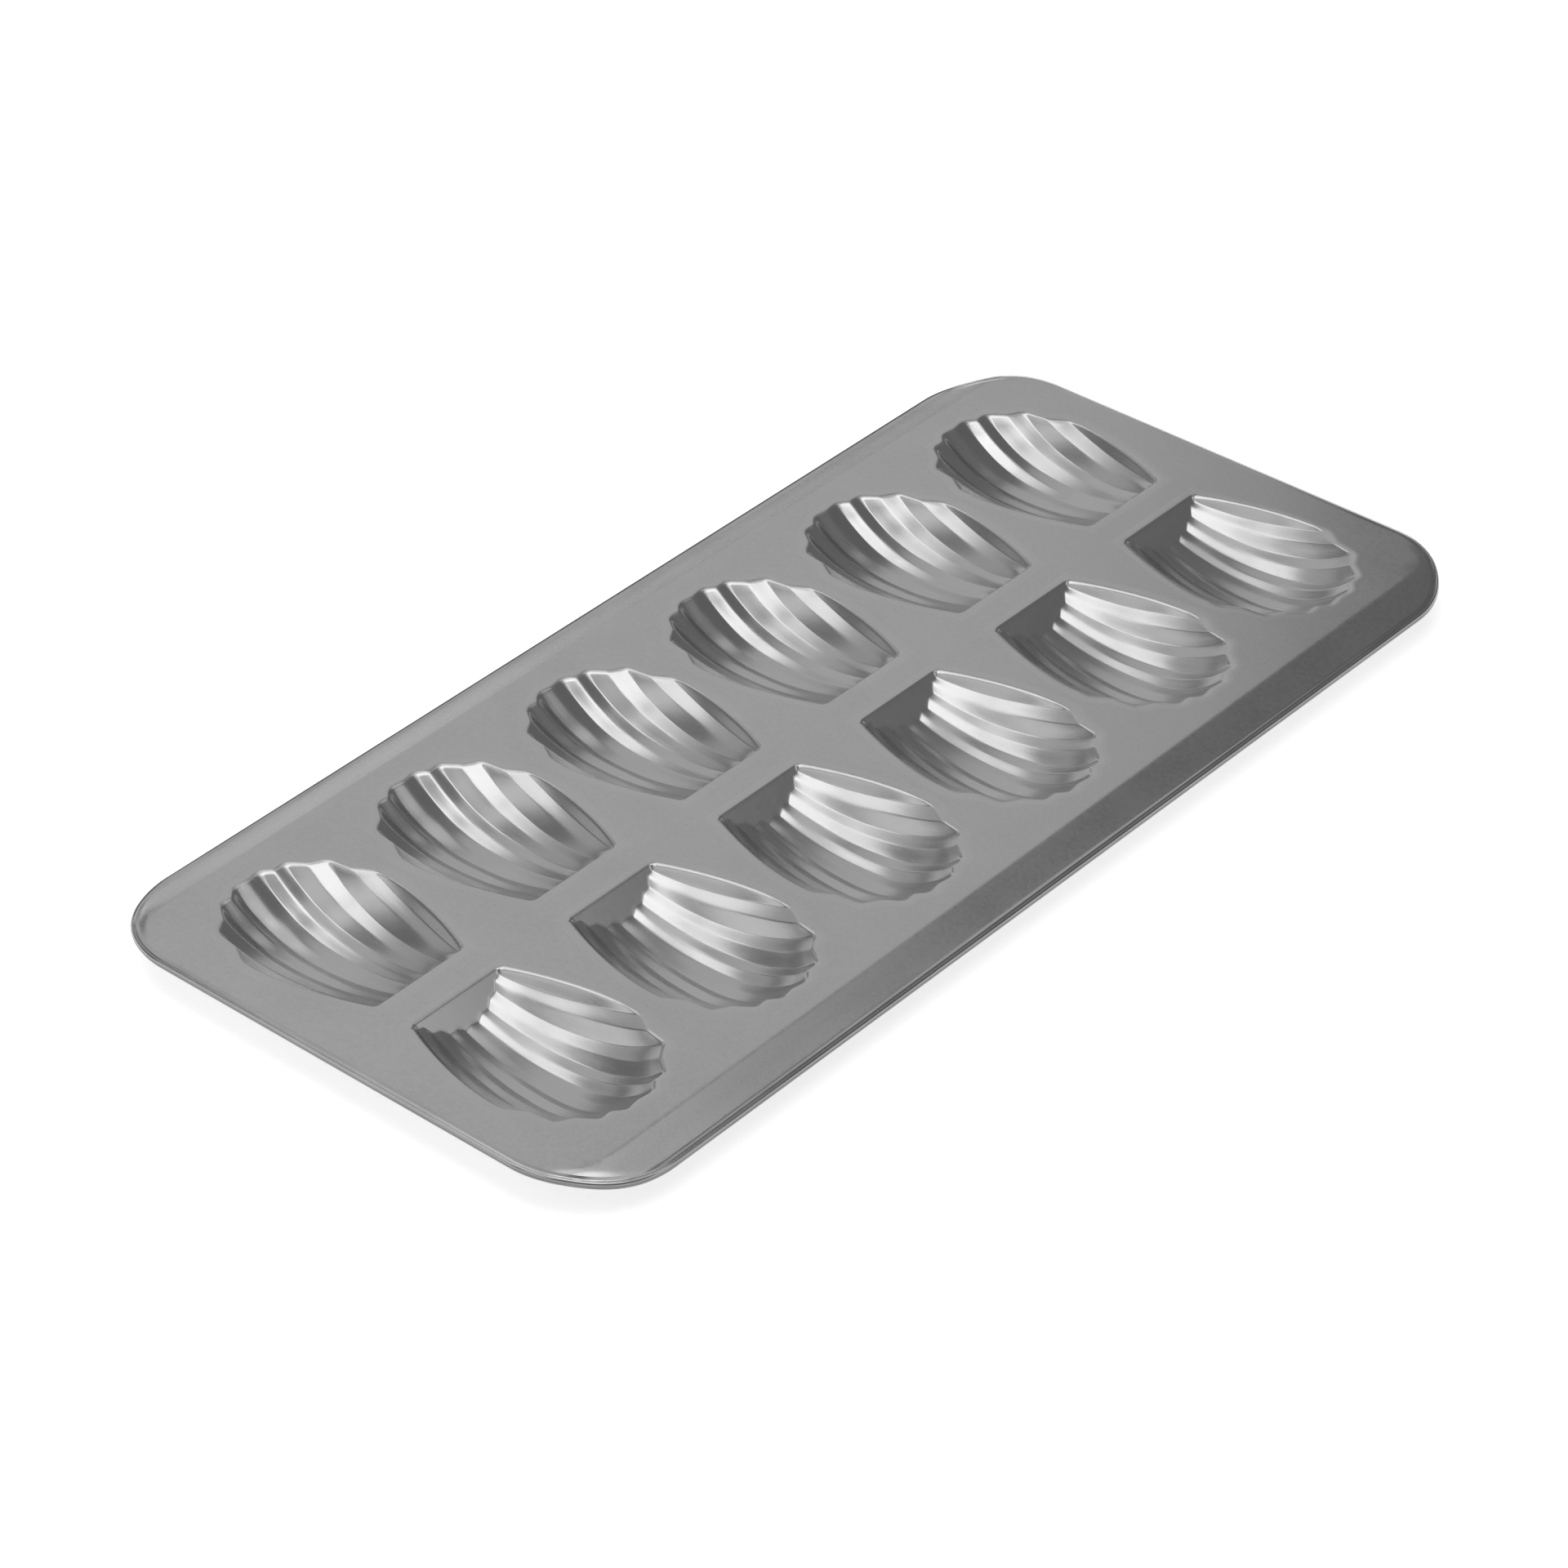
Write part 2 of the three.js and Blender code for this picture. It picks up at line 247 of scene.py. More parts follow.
def control_lines():
    """All lines of one hollow from right to left: shoulder, edge, valleys and ridges by turns."""
    outer, edge = side_lines()
    right = [outer, edge]
    for k in reversed(range(len(VALLEY_FOOT_SHARES))):
        right.append(valley_line(k))
        if k:
            right.append(ridge_line(k))
    flip = np.array([-1, 1, 1])
    left = [line * flip for line in reversed(right)]
    return np.array(right + [ridge_line(0)] + left)


def rounded(net, cuts, between):
    """Rounds the bends of each polyline along axis 0. cuts[i] gives how far back corner i is cut,
    as a length and a share of the side, and between[i] the extra points on the way to the next."""
    count = len(net)
    out = []
    back, ahead = [None] * count, [None] * count
    for i in range(1, count - 1):
        if cuts[i] is None:
            continue
        for ends, step in ((back, -1), (ahead, 1)):
            side = net[i + step] - net[i]
            length = np.linalg.norm(side, axis=-1, keepdims=True)
            room = ROOM_BY_POINT if cuts[i + step] is None else ROOM_BY_BEND
            cut = np.minimum(cuts[i][0] + cuts[i][1] * length, room * length)
            ends[i] = net[i] + side * (cut / np.maximum(length, SHORTEST_SIDE))
    for i in range(count):
        if back[i] is None:
            out.append(net[i])
            last = net[i]
        else:
            for s in range(ROUND_STEPS + 1):
                t = s / ROUND_STEPS
                out.append((1 - t) ** 2 * back[i] + 2 * t * (1 - t) * net[i] + t * t * ahead[i])
            last = ahead[i]
        if i + 1 < count:
            goal = net[i + 1] if back[i + 1] is None else back[i + 1]
            for s in range(1, between[i] + 1):
                out.append(mix(last, goal, s / (between[i] + 1)))
    return np.array(out)


def valley_cut(line):
    """How far a valley's bend is cut back: little along it, more over the last rows at its tip."""
    from_toe = (len(line) - 1 - np.arange(len(line))[:, None]) / TOE_ROWS
    return mix(TIP_BLUNTNESS, VALLEY_ROUND, smooth(2 * from_toe - 1)), 0


def ridge_cut(line, k):
    """How far a ridge's bend is cut back, as a share of its sides: less towards the toe."""
    along = line[:, 1:2] / CUP_LENGTH
    sharpening_run = RIDGE_SHARP_AT_SHARE - RIDGE_SHARPENS_FROM_SHARE
    sharp = smooth((along - RIDGE_SHARPENS_FROM_SHARE) / sharpening_run)
    return 0, mix(RIDGE_HEEL_ROUND_SHARE, RIDGE_TOE_ROUND_SHARES[k], sharp)


def cup_grid():
    """The hollow's top as a grid of points: first index across the flutes, second along them."""
    lines = control_lines()
    count, rows = lines.shape[:2]
    middle = count // 2
    side = middle - 1
    ranks = [abs(i - middle) for i in range(count)]
    is_ridge = np.array([rank % 2 == 0 and rank < side for rank in ranks])[:, None]

    cuts, between = [None] * rows, [0] * rows
    cuts[1], cuts[2] = (EDGE_ROUND, 0), (FOOT_ROUND, 0)
    cuts[rows - 2] = (np.where(is_ridge, NOTCH_ROUND, TIP_ROUND), 0)
    between[0], between[1], between[rows - 2] = SHOULDER_STEPS, HEEL_WALL_STEPS, SHOULDER_STEPS
    across = rounded(lines.transpose(1, 0, 2), cuts, between).transpose(1, 0, 2)

    cuts, between = [None] * count, [FLUTE_SIDE_STEPS] * count
    for i in range(1, count - 1):
        if ranks[i] == side:
            cuts[i] = (SIDE_ROUND, 0)
        elif is_ridge[i]:
            cuts[i] = ridge_cut(across[i], ranks[i] // 2)
        else:
            cuts[i] = valley_cut(across[i])
    between[1] = between[count - 3] = SIDE_WALL_STEPS
    return rounded(across, cuts, between)


# The sheet's height outside the hollows

CREASE_BLEND = 0.9
LIP_BLEND = 1.2

# Near the rim, at the corners, the crease eases into a soft bend
CREASE_END_BLEND = 4.5
CREASE_END_RUN = 8.0

# Where a crease runs out at a corner, the sheet also rolls off towards the rim
ROLL_OFF = 0.45
ROLL_WIDTH = 2.6
ROLL_FROM = math.radians(12)
ROLL_TO = math.radians(74)


def ramp(d, blend):
    """0 below the bend and d above it, with a parabola over the blend on either side."""
    eased = (d + blend) ** 2 / (4 * blend)
    return np.where(np.abs(d) < blend, eased, np.maximum(0, d))


def corner_place(x, y):
    """Angle round the corner's centre, and a measure of how near the corner's edge is: 1 at the
    edge, 0 a given run inwards and outside the corners."""
    across, along = np.abs(x) - corner_x, np.abs(y) - corner_y
    inwards = np.maximum(0, corner_radius - np.hypot(across, along))
    in_corner = (across > 0) & (along > 0)

    def near(run):
        return np.where(in_corner, np.maximum(0, 1 - inwards / run), 0)

    return np.arctan2(along, across), near


def sheet_z(x, y):
    angle, near = corner_place(x, y)
    turn = np.clip((angle - ROLL_FROM) / (ROLL_TO - ROLL_FROM), 0, 1)
    roll = ROLL_OFF * np.sin(math.pi * turn) ** 2 * near(ROLL_WIDTH) ** 2
    blend = mix(CREASE_BLEND, CREASE_END_BLEND, smooth(near(CREASE_END_RUN)))
    fall = ramp(np.abs(y) - CREASE_Y, blend)
    stop = ramp(np.abs(y) - CREASE_Y - STEP_RUN, LIP_BLEND)
    return -STEP_DROP / STEP_RUN * (fall - stop) - roll


# Meshes

# Edges that bend more than this stay sharp
SHEET_SMOOTH_ANGLE = math.radians(40)
RIM_SMOOTH_ANGLE = math.radians(50)


def mesh_object(name, points, faces, smooth_angle=SHEET_SMOOTH_ANGLE):
    mesh = bpy.data.meshes.new(name)
    lifted = np.asarray(points, float) + (0, 0, deck_top)
    mesh.from_pydata((lifted * MM).tolist(), [], faces)
    mesh.validate()
    mesh.shade_smooth()
    obj = bpy.data.objects.new(name, mesh)
    bpy.context.scene.collection.objects.link(obj)
    mesh.set_sharp_from_angle(angle=smooth_angle)
    return obj


def vertex_normals(points, faces):
    normals = np.zeros_like(points)
    for face in faces:
        p = points[list(face)]
        if len(face) == 4:
            n = np.cross(p[2] - p[0], p[3] - p[1])
        else:
            n = np.cross(p[1] - p[0], p[2] - p[0])
        for k in face:
            normals[k] += n
    return normals / np.linalg.norm(normals, axis=1, keepdims=True)


def shell(points, faces, loops):
    """Closes a top surface into a sheet of even thickness that stays above the ground. loops are
    its open edges."""
    below = points - vertex_normals(points, faces) * SHEET
    below[:, 2] = np.maximum(below[:, 2], -deck_top)
    for loop in loops:
        below[loop] = points[loop] - (0, 0, SHEET)
    shift = len(points)
    under = [tuple(k + shift for k in reversed(face)) for face in faces]
    walls = []
    for loop in loops:
        for a, b in zip(loop, loop[1:] + loop[:1]):
            walls.append((b, a, a + shift, b + shift))
    return np.concatenate([points, below]), list(faces) + under + walls


def grid_border(columns, rows):
    """Indices round the edge of a grid, anticlockwise as seen from above when u falls with i."""
    border = [i * rows for i in range(columns)]
    border += [(columns - 1) * rows + j for j in range(1, rows)]
    border += [i * rows + rows - 1 for i in range(columns - 2, -1, -1)]
    border += [j for j in range(rows - 2, 0, -1)]
    return border[::-1]


def cup_pieces():
    """The twelve hollows, and their outlines in the deck."""
    grid = cup_grid()
    columns, rows = grid.shape[:2]
    points = grid.reshape(-1, 3)
    faces = []
    for i in range(columns - 1):
        for j in range(rows - 1):
            a = i * rows + j
            faces.append((a, a + 1, a + rows + 1, a + rows))
    border = grid_border(columns, rows)
    shell_points, shell_faces = shell(points, faces, [border])
    made = []
    outlines = []
    for row, side in (("front", -1), ("back", 1)):
        for i in range(CUPS_PER_ROW):
            centre = np.array([(i - (CUPS_PER_ROW - 1) / 2) * PITCH, side * HEEL_GAP / 2, 0])
            turn = np.array([side, side, 1])
            placed = shell_points * turn + centre
            node = f"cup_{row}_{i + 1}"
            piece = mesh_object(f"pressed_{node}", placed, shell_faces)
            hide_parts(node)
            made.append(piece)
            outlines.append((points[border] * turn + centre)[:, :2])
    return made, outlines


# The deck: a flat net between the hollows and the rim, lifted to the sheet's height

CORNER_STEPS = 56
EDGE_STEP = 4.0
DECK_STEP = 4.0
CLEARANCE = 0.7
BEND_ROW_SHARES = (-1, -0.5, 0, 0.5, 1)
ROW_DECIMALS = 3
CORNER_RING_SHARES = (0.3, 0.52, 0.76, 1.05)

# For Blender's triangulation: it returns every triangle, and points this close together are one
ALL_TRIANGLES = 0
MERGE_DISTANCE = 1e-7


def edge_stations():
    """Points and outward directions round the flat sheet's edge, anticlockwise."""
    stations = []
    for quarter in range(4):
        sx = (1, -1, -1, 1)[quarter]
        sy = (1, 1, -1, -1)[quarter]
        start = quarter * math.pi / 2
        centre = np.array([sx * corner_x, sy * corner_y])
        for i in range(CORNER_STEPS + 1):
            angle = start + i / CORNER_STEPS * math.pi / 2
            out = np.array([math.cos(angle), math.sin(angle)])
            stations.append((centre + out * corner_radius, out))
        length = 2 * (corner_x if quarter % 2 == 0 else corner_y)
        count = round(length / EDGE_STEP)
        p, out = stations[-1]
        along = np.array([-out[1], out[0]])
        for i in range(1, count):
            stations.append((p + along * length * i / count, out))
    return stations


def inside(points, polygon):
    x, y = points[:, 0:1], points[:, 1:2]
    x0, y0 = polygon[:, 0], polygon[:, 1]
    x1, y1 = np.roll(x0, -1), np.roll(y0, -1)
    crosses = (y0 > y) != (y1 > y)
    with np.errstate(divide="ignore", invalid="ignore"):
        at = (x1 - x0) * (y - y0) / (y1 - y0) + x0
    return (np.sum(crosses & (x < at), axis=1) % 2) == 1


def on_deck(points, edge, outlines):
    """Which points lie within the sheet's edge and outside every hollow."""
    keep = inside(points, edge)
    for outline in outlines:
        keep &= ~inside(points, outline)
    return keep


def corner_rings():
    """Extra points inside the corners' edge, close enough to carry the roll-off."""
    count = 4 * CORNER_STEPS
    points = []
    for share in CORNER_RING_SHARES:
        radius = corner_radius - share * ROLL_WIDTH
        for i in range(count):
            angle = (i + 0.5) / count * 2 * math.pi
            x, y = radius * math.cos(angle), radius * math.sin(angle)
            points.append((math.copysign(corner_x, x) + x, math.copysign(corner_y, y) + y))
    return points


def deck_rows():
    """Where the rows of loose points run: evenly over the deck, and closely over the bends."""
    half_rows = int(CREASE_Y / DECK_STEP)
    rows = set(np.round(np.arange(-half_rows, half_rows + 1) * DECK_STEP, ROW_DECIMALS))
    for blend, at in ((CREASE_BLEND, CREASE_Y), (LIP_BLEND, CREASE_Y + STEP_RUN)):
        for share in BEND_ROW_SHARES:
            place = round(at + share * blend, ROW_DECIMALS)
            rows |= {place, -place}
    rows |= {CREASE_Y + STEP_RUN / 2, -CREASE_Y - STEP_RUN / 2}
    return sorted(rows)


def loose_points(edge, outlines):
    """Points on the deck, none of them too close to an outline."""
    half_columns = int(outer_x / DECK_STEP)
    xs = np.arange(-half_columns, half_columns + 1) * DECK_STEP
    points = np.array([(x, y) for y in deck_rows() for x in xs] + corner_rings())
    points = points[on_deck(points, edge, outlines)]
    fixed = np.concatenate([edge, *outlines])
    gaps = np.array([np.min(np.hypot(*(fixed - p).T)) for p in points])
    return points[gaps > CLEARANCE]


def deck_net(edge, outlines):
    """The deck's points and triangles, and its open edges as loops of point numbers."""
    rings = [edge, *outlines]
    numbers, start = [], 0
    for ring in rings:
        numbers.append(list(range(start, start + len(ring))))
        start += len(ring)
    edges = [pair for ring in numbers for pair in zip(ring, ring[1:] + ring[:1])]
    corners = [Vector(p) for p in np.concatenate([*rings, loose_points(edge, outlines)])]
    points, _, faces, origin, _, _ = delaunay_2d_cdt(
        corners, edges, [], ALL_TRIANGLES, MERGE_DISTANCE, True)
    points = np.array([tuple(p) for p in points])
    centres = np.array([points[list(face)].mean(0) for face in faces])
    keep = on_deck(centres, edge, outlines)
    faces = [tuple(face) for face, kept in zip(faces, keep) if kept]
    where = {old: new for new, olds in enumerate(origin) for old in olds}
    used = sorted({k for face in faces for k in face})
    renumber = {old: new for new, old in enumerate(used)}
    faces = [tuple(renumber[k] for k in face) for face in faces]
    outer, *openings = [[renumber[where[k]] for k in ring] for ring in numbers]
    return points[used], faces, [outer] + [loop[::-1] for loop in openings]


def deck_piece(outlines):
    edge = np.array([p for p, _ in edge_stations()])
    flat, faces, loops = deck_net(edge, outlines)
    points = np.column_stack([flat, sheet_z(flat[:, 0], flat[:, 1])])
    points, faces = shell(points, faces, loops)
    piece = mesh_object("pressed_deck", points, faces)
    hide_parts("deck_front", "deck_back", "fold_front", "fold_back")
    return piece


# The rim: the sheet runs on, dips in a fine groove and curls down round the wire

CURL_RADIUS = 1.2
CURL_CENTRE = RIM_INSET - CURL_RADIUS
CURL_SQUARENESS = 2.5
CURL_TOP_END = math.radians(60)
CURL_END = math.radians(-160)
TOP_STEPS = 16
CURL_STEPS = 34
FLAT_STEPS = 8
GROOVE_AT = 1.6
GROOVE_HALF_WIDTH = 0.42
GROOVE_DEPTH = 0.27


def curl_section(angle, inset):
    c, s = math.cos(angle), math.sin(angle)
    k = (abs(c) ** CURL_SQUARENESS + abs(s) ** CURL_SQUARENESS) ** (-1 / CURL_SQUARENESS)
    radius = (CURL_RADIUS - inset) * k
    return CURL_CENTRE + radius * c, -CURL_RADIUS + radius * s


def groove(r):
    return GROOVE_DEPTH * float(smooth(1 - abs(r - GROOVE_AT) / GROOVE_HALF_WIDTH))


def rim_profile():
    """(outwards, up) round the rim's section, from the sheet's edge over the top and beneath."""
    top_start = math.pi / 2
    top = [(CURL_CENTRE * i / FLAT_STEPS, 0) for i in range(FLAT_STEPS)]
    top += [curl_section(mix(top_start, CURL_TOP_END, i / TOP_STEPS), 0) for i in range(TOP_STEPS)]
    top = [(r, up - groove(r)) for r, up in top]
    turns = [mix(CURL_TOP_END, CURL_END, i / CURL_STEPS) for i in range(CURL_STEPS + 1)]
    outer = [curl_section(a, 0) for a in turns]
    inner = [curl_section(a, SHEET) for a in reversed(turns)]
    return [*top, *outer, *inner, (CURL_CENTRE, -SHEET), (0, -SHEET)]


def follows_to(r, up):
    """How far out a point follows the sheet's height. The curl keeps the height at its centre."""
    flat = r == 0 or up > -SHEET / 2
    return min(r, CURL_CENTRE) if flat else CURL_CENTRE


def rim_piece():
    profile = rim_profile()
    stations = edge_stations()
    n = len(profile)
    points = []
    for p, out in stations:
        for r, up in profile:
            x, y = p + out * r
            points.append((x, y, float(sheet_z(*(p + out * follows_to(r, up)))) + up))
    faces = []
    for i in range(len(stations)):
        a, b = i * n, (i + 1) % len(stations) * n
        for j in range(n):
            k = (j + 1) % n
            faces.append((a + j, a + k, b + k, b + j))
    piece = mesh_object("curled_rim", np.array(points), faces, RIM_SMOOTH_ANGLE)
    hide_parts("rolled_rim")
    return piece


# Shader nodes

def math_node(nodes, links, operation, first, second):
    node = nodes.new("ShaderNodeMath")
    node.operation = operation
    for value, socket in zip((first, second), node.inputs):
        if isinstance(value, (int, float)):
            socket.default_value = value
        else:
            links.new(value, socket)
    return node.outputs["Value"]


def remap(nodes, links, value, given, wanted, curve="SMOOTHSTEP"):
    """Carries a value from the given range over to the wanted one, and holds it there."""
    node = nodes.new("ShaderNodeMapRange")
    node.interpolation_type = curve
    for name, number in zip(("From Min", "From Max", "To Min", "To Max"), (*given, *wanted)):
        node.inputs[name].default_value = number
    links.new(value, node.inputs["Value"])
    return node.outputs["Result"]


# Finishes

# Feature sizes of the textures, as a scale to the metre
BLOTCH_SCALE = 55
MOTTLE_SCALE = 650
GRAIN_SCALE = 2600
WAVE_SCALE = 14
BRUSH_SCALE = (4200, 260, 260)
BRUSH_ANGLE = math.radians(40)
RIM_LINE_SCALE = (60, 60, 3000)
WIRE_LINE_SCALE = (90, 90, 5200)

# The middle of a noise's range, which is stretched over the values below
NOISE_MIDDLE = (0.3, 0.7)

# Lowest and highest value that a texture gives to a steel's grey or roughness, or adds to it
SATIN_GREY = (0.49, 0.515)
SATIN_GREY_MOTTLE = (-0.012, 0.015)
SATIN_ROUGHNESS = (0.27, 0.29)
SATIN_ROUGHNESS_MOTTLE = (-0.015, 0.015)
DRAWN_GREY = (0.5, 0.53)
DRAWN_GREY_BRUSH = (-0.012, 0.012)
DRAWN_ROUGHNESS = (0.245, 0.265)
DRAWN_ROUGHNESS_BRUSH = (-0.01, 0.01)
RIM_GREY_BLOTCH = (-0.02, 0.02)
RIM_GREY_LINES = (-0.03, 0.03)
RIM_ROUGHNESS_LINES = (-0.02, 0.02)
WIRE_GREY = (0.38, 0.44)
WIRE_GREY_PATCHES = (-0.03, 0.03)
WIRE_ROUGHNESS = (0.3, 0.4)
WIRE_ROUGHNESS_LINES = (-0.03, 0.03)

# The rim's values down its wall and on its top, and the upward part of the surface's direction
# at which each holds. The wall's darker grey is painted shade, not the steel's own colour.
RIM_GREY_WITH_PAINTED_WALL_SHADE = (0.2, 0.47)
RIM_ROUGHNESS = (0.3, 0.17)
WALL_TO_TOP = (0.05, 0.55)

# How high each texture stands, in metres
SATIN_WAVE = 5e-4
SATIN_MOTTLE = 1.5e-6
SATIN_GRAIN = 1e-6
DRAWN_MOTTLE = 1.2e-6
DRAWN_BRUSH = 5e-7
RIM_LINES = 3e-6
WIRE_LINES = 4e-6


class Finish:
    """A metal's node tree, with short calls for the textures that vary its colour and gloss."""

    def __init__(self, name):
        self.material = bpy.data.materials.new(name)
        self.material.use_nodes = True
        self.nodes = self.material.node_tree.nodes
        self.links = self.material.node_tree.links
        self.shader = self.nodes["Principled BSDF"]
        coordinates = self.nodes.new("ShaderNodeTexCoord")
        self.place = coordinates.outputs["Object"]
        self.facing = coordinates.outputs["Normal"]

    def noise(self, scale, detail, place=None):
        node = self.nodes.new("ShaderNodeTexNoise")
        node.inputs["Scale"].default_value = scale
        node.inputs["Detail"].default_value = detail
        self.links.new(place or self.place, node.inputs["Vector"])
        return node.outputs["Fac"]

    def streaks(self, scale, detail, turn=0):
        """Noise with a scale of its own along each axis, turned about the upright one."""
        node = self.nodes.new("ShaderNodeMapping")
        node.inputs["Rotation"].default_value = (0, 0, turn)
        node.inputs["Scale"].default_value = scale
        self.links.new(self.place, node.inputs["Vector"])
        return self.noise(1, detail, node.outputs["Vector"])

    def spread(self, value, wanted):
        return remap(self.nodes, self.links, value, NOISE_MIDDLE, wanted, "LINEAR")

    def wall_to_top(self, wanted):
        """One value where the surface faces sideways, another where it faces up."""
        split = self.nodes.new("ShaderNodeSeparateXYZ")
        self.links.new(self.facing, split.inputs[0])
        return remap(self.nodes, self.links, split.outputs["Z"], WALL_TO_TOP, wanted)

    def add(self, first, second):
        return math_node(self.nodes, self.links, "ADD", first, second)

    def grey(self, value):
        node = self.nodes.new("ShaderNodeCombineColor")
        for channel in node.inputs:
            self.links.new(value, channel)
        return node.outputs["Color"]

    def bump(self, height, distance, normal=None):
        node = self.nodes.new("ShaderNodeBump")
        node.inputs["Distance"].default_value = distance
        self.links.new(height, node.inputs["Height"])
        if normal:
            self.links.new(normal, node.inputs["Normal"])
        return node.outputs["Normal"]

    def finish(self, base, roughness, normal):
        self.shader.inputs["Metallic"].default_value = 1.0
        self.links.new(self.grey(base), self.shader.inputs["Base Color"])
        self.links.new(roughness, self.shader.inputs["Roughness"])
        self.links.new(normal, self.shader.inputs["Normal"])
        return self.material


def satin_steel():
    """The flat sheet: satin steel, faintly blotched and mottled, and a little wavy."""
    f = Finish("satin_steel")
    blotch = f.noise(BLOTCH_SCALE, detail=3)
    mottle = f.noise(MOTTLE_SCALE, detail=3)
    base = f.add(f.spread(blotch, SATIN_GREY), f.spread(mottle, SATIN_GREY_MOTTLE))
    roughness = f.add(f.spread(blotch, SATIN_ROUGHNESS), f.spread(mottle, SATIN_ROUGHNESS_MOTTLE))
    wavy = f.bump(f.noise(WAVE_SCALE, detail=1), SATIN_WAVE)
    uneven = f.bump(mottle, SATIN_MOTTLE, wavy)
    grainy = f.bump(f.noise(GRAIN_SCALE, detail=2), SATIN_GRAIN, uneven)
    return f.finish(base, roughness, grainy)


def drawn_steel():
    """The hollows: the same sheet, polished a little by the die, with fine slanting brush marks."""
    f = Finish("drawn_steel")
    blotch = f.noise(BLOTCH_SCALE, detail=3)
    mottle = f.noise(MOTTLE_SCALE, detail=3)
    brush = f.streaks(BRUSH_SCALE, detail=2, turn=BRUSH_ANGLE)
    base = f.add(f.spread(blotch, DRAWN_GREY), f.spread(brush, DRAWN_GREY_BRUSH))
    roughness = f.add(f.spread(mottle, DRAWN_ROUGHNESS), f.spread(brush, DRAWN_ROUGHNESS_BRUSH))
    uneven = f.bump(mottle, DRAWN_MOTTLE)
    return f.finish(base, roughness, f.bump(brush, DRAWN_BRUSH, uneven))


def edge_steel():
    """The rim: burnished on top, duller down its wall, where its grey is painted darker as shade,
    finely lined lengthwise.
    """
    f = Finish("edge_steel")
    blotch = f.noise(BLOTCH_SCALE, detail=3)
    lines = f.streaks(RIM_LINE_SCALE, detail=2)
    base = f.add(f.spread(blotch, RIM_GREY_BLOTCH), f.spread(lines, RIM_GREY_LINES))
    # Painted shade: the grey drops from the top's to a much darker one down the wall, by which way
    # the surface faces
    base = f.add(base, f.wall_to_top(RIM_GREY_WITH_PAINTED_WALL_SHADE))
    roughness = f.add(f.spread(lines, RIM_ROUGHNESS_LINES), f.wall_to_top(RIM_ROUGHNESS))
    return f.finish(base, roughness, f.bump(lines, RIM_LINES))


def wire_steel():
    """The wire: drawn steel, darker than the sheet, with lengthwise lines and dull patches."""
    f = Finish("wire_steel")
    lines = f.streaks(WIRE_LINE_SCALE, detail=3)
    dull = f.noise(MOTTLE_SCALE, detail=4)
    base = f.add(f.spread(lines, WIRE_GREY), f.spread(dull, WIRE_GREY_PATCHES))
    roughness = f.add(f.spread(dull, WIRE_ROUGHNESS), f.spread(lines, WIRE_ROUGHNESS_LINES))
    return f.finish(base, roughness, f.bump(lines, WIRE_LINES))


# The studio: soft boxes over a white floor, in a dim room

AMBIENT = 0.18
HORIZON = 0.6
HORIZON_SPAN = (math.sin(math.radians(7)), math.sin(math.radians(12)))
BOX_DISTANCE = 1.25
FLOOR_SIZE = 12.0
FLOOR_WHITE = 0.9
FLOOR_GLOW = 0.6
FLOOR_FAR_GLOW = 1.0
FLOOR_WHITE_SPAN = (0.4, 1.2)
FLOOR_DIM_SPAN = (2.5, 5.5)

# name, azimuth and elevation in degrees, width and height in metres, brightness
SOFT_BOXES = (
    ("overhead", 216, 82, 0.80, 0.80, 1.65),
    ("overhead_far", 36, 68, 0.80, 0.36, 0.62),
    ("wall", 50, 32, 0.85, 0.85, 0.46),
    ("back", 95, 40, 0.60, 0.80, 0.34),
    ("back_high", 120, 62, 0.60, 0.40, 1.35),
    ("back_top", 75, 62, 0.50, 0.40, 0.62),
    ("back_left", 145, 32, 0.35, 0.80, 0.90),
    ("left", 175, 34, 0.50, 0.80, 0.70),
    ("left_high", 165, 58, 0.45, 0.45, 0.16),
    ("left_front", 205, 52, 0.55, 0.60, 0.38),
    ("front", 250, 60, 0.55, 0.45, 0.85),
    ("front_low", 287, 30, 0.45, 0.50, 1.02),
    ("front_right", 295, 62, 0.50, 0.40, 0.70),
    ("back_low", 75, 9, 0.80, 0.25, 0.30),
)


def add_soft_boxes():
    for name, azimuth, elevation, width, height, brightness in SOFT_BOXES:
        a, e = math.radians(azimuth), math.radians(elevation)
        towards = Vector((math.cos(e) * math.cos(a), math.cos(e) * math.sin(a), math.sin(e)))
        data = bpy.data.lights.new(name, "AREA")
        data.shape = "RECTANGLE"
        data.size, data.size_y = width, height
        data.energy = brightness * math.pi * width * height
        lamp = bpy.data.objects.new(name, data)
        lamp.location = towards * BOX_DISTANCE
        lamp.rotation_euler = towards.to_track_quat("Z", "Y").to_euler()
        lamp.visible_camera = False
        bpy.context.scene.collection.objects.link(lamp)


def seen_directly(nodes, links):
    """1 for what is seen itself, in a reflection or through glass, 0 for its light on things."""
    path = nodes.new("ShaderNodeLightPath").outputs
    seen = math_node(nodes, links, "MAXIMUM", path["Is Camera Ray"], path["Is Glossy Ray"])
    return math_node(nodes, links, "MAXIMUM", seen, path["Is Transmission Ray"])


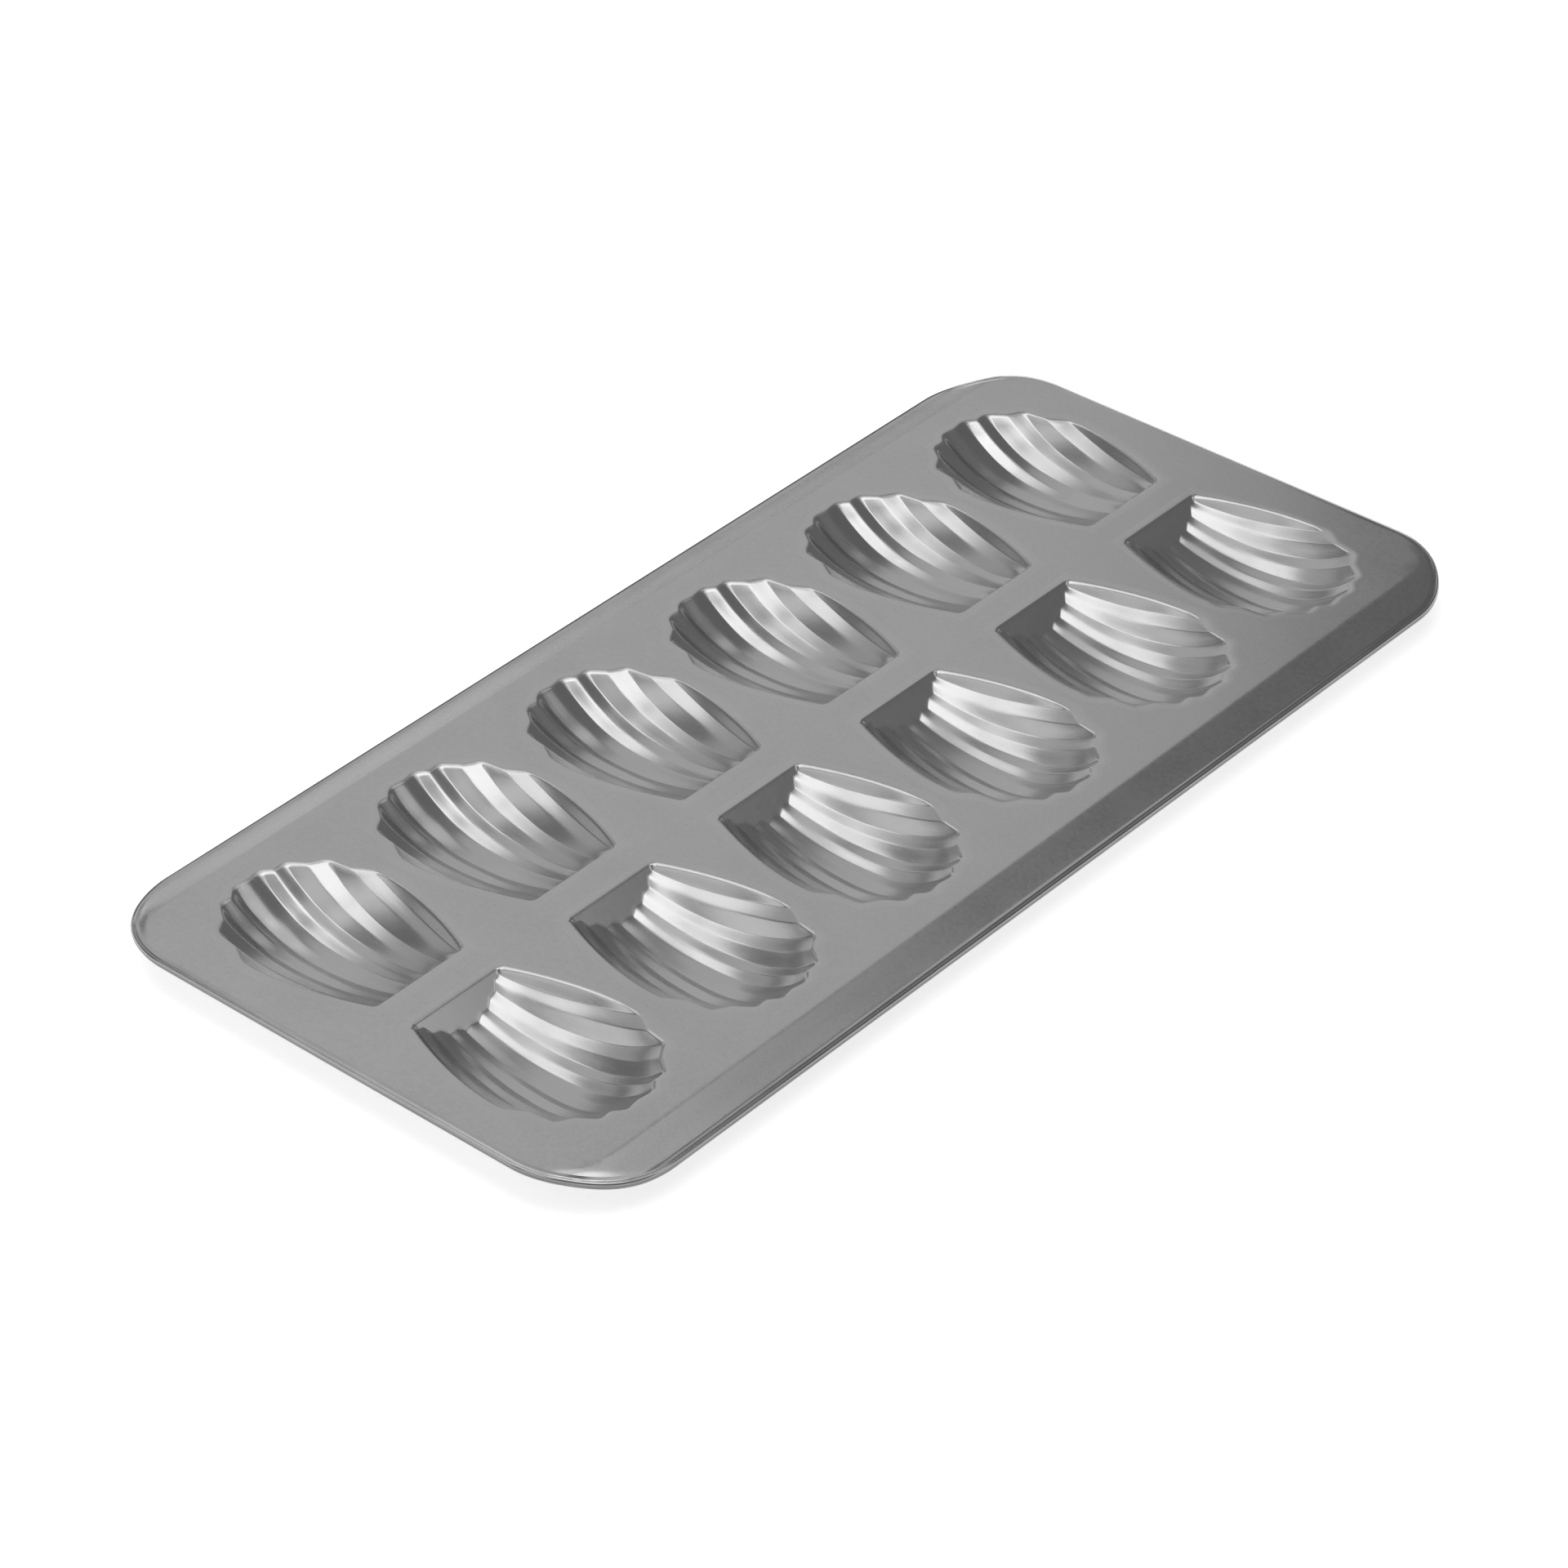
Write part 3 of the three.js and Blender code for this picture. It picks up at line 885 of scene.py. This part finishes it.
def white_ground():
    """White to look at, with the part's soft shadow, and as pale as the horizon far away."""
    material = bpy.data.materials.new("white_ground")
    material.use_nodes = True
    nodes, links = material.node_tree.nodes, material.node_tree.links
    shader = nodes["Principled BSDF"]
    shader.inputs["Base Color"].default_value = (FLOOR_WHITE, FLOOR_WHITE, FLOOR_WHITE, 1)
    shader.inputs["Roughness"].default_value = 1.0
    shader.inputs["Specular IOR Level"].default_value = 0.0
    distance = nodes.new("ShaderNodeVectorMath")
    distance.operation = "LENGTH"
    links.new(nodes.new("ShaderNodeTexCoord").outputs["Object"], distance.inputs[0])
    away = distance.outputs["Value"]
    near = remap(nodes, links, away, FLOOR_WHITE_SPAN, (FLOOR_GLOW, FLOOR_FAR_GLOW))
    far = remap(nodes, links, away, FLOOR_DIM_SPAN, (1, HORIZON))
    glow = math_node(nodes, links, "MULTIPLY", near, far)
    shader.inputs["Emission Color"].default_value = (1, 1, 1, 1)
    strength = math_node(nodes, links, "MULTIPLY", glow, seen_directly(nodes, links))
    links.new(strength, shader.inputs["Emission Strength"])
    return material


def add_floor():
    bpy.ops.mesh.primitive_plane_add(size=FLOOR_SIZE, location=(0, 0, 0))
    floor = bpy.context.object
    floor.name = "floor"
    floor.data.materials.append(white_ground())


def add_world():
    """A dim room with a pale horizon, where the floor ends."""
    world = bpy.data.worlds.new("studio")
    world.use_nodes = True
    nodes, links = world.node_tree.nodes, world.node_tree.links
    split = nodes.new("ShaderNodeSeparateXYZ")
    links.new(nodes.new("ShaderNodeTexCoord").outputs["Generated"], split.inputs[0])
    level = remap(nodes, links, split.outputs["Z"], HORIZON_SPAN, (HORIZON, AMBIENT))
    background = nodes["Background"]
    background.inputs["Color"].default_value = (1, 1, 1, 1)
    links.new(level, background.inputs["Strength"])
    bpy.context.scene.world = world


# Camera, from the photograph's two vanishing points. Its distance, target and lens are in
# millimetres.

CAMERA_AZIMUTH = math.radians(-47.69)
CAMERA_ELEVATION = math.radians(35.825)
CAMERA_ROLL = math.radians(-1.55)
CAMERA_DISTANCE = 1500.0
CAMERA_TARGET = (-23.9, -10.35)
CAMERA_LENS = 119.64
SENSOR = 36.0


def add_camera():
    a, e = CAMERA_AZIMUTH, CAMERA_ELEVATION
    forward = Vector((-math.sin(a) * math.cos(e), math.cos(a) * math.cos(e), -math.sin(e)))
    right = Vector((math.cos(a), math.sin(a), 0))
    up = right.cross(forward)
    turn = Matrix((right, up, -forward)).transposed().to_4x4()
    data = bpy.data.cameras.new("camera")
    data.sensor_width = SENSOR
    data.lens = CAMERA_LENS
    camera = bpy.data.objects.new("camera", data)
    target = Vector((*CAMERA_TARGET, deck_top))
    place = (target - forward * CAMERA_DISTANCE) * MM
    camera.matrix_world = Matrix.Translation(place) @ turn @ Matrix.Rotation(CAMERA_ROLL, 4, "Z")
    bpy.context.scene.collection.objects.link(camera)
    bpy.context.scene.camera = camera


def dress(piece, material):
    piece.data.materials.append(material)
    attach(piece, "root")


def main():
    cups, outlines = cup_pieces()
    deck = deck_piece(outlines)
    rim = rim_piece()
    drawn = drawn_steel()
    for cup in cups:
        dress(cup, drawn)
    dress(deck, satin_steel())
    dress(rim, edge_steel())
    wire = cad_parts["rim_wire"]
    wire.data.materials.clear()
    wire.data.materials.append(wire_steel())
    add_camera()
    add_floor()
    add_soft_boxes()
    add_world()
    bpy.context.scene.view_settings.view_transform = "Standard"


main()
bpy.context.view_layer.update()
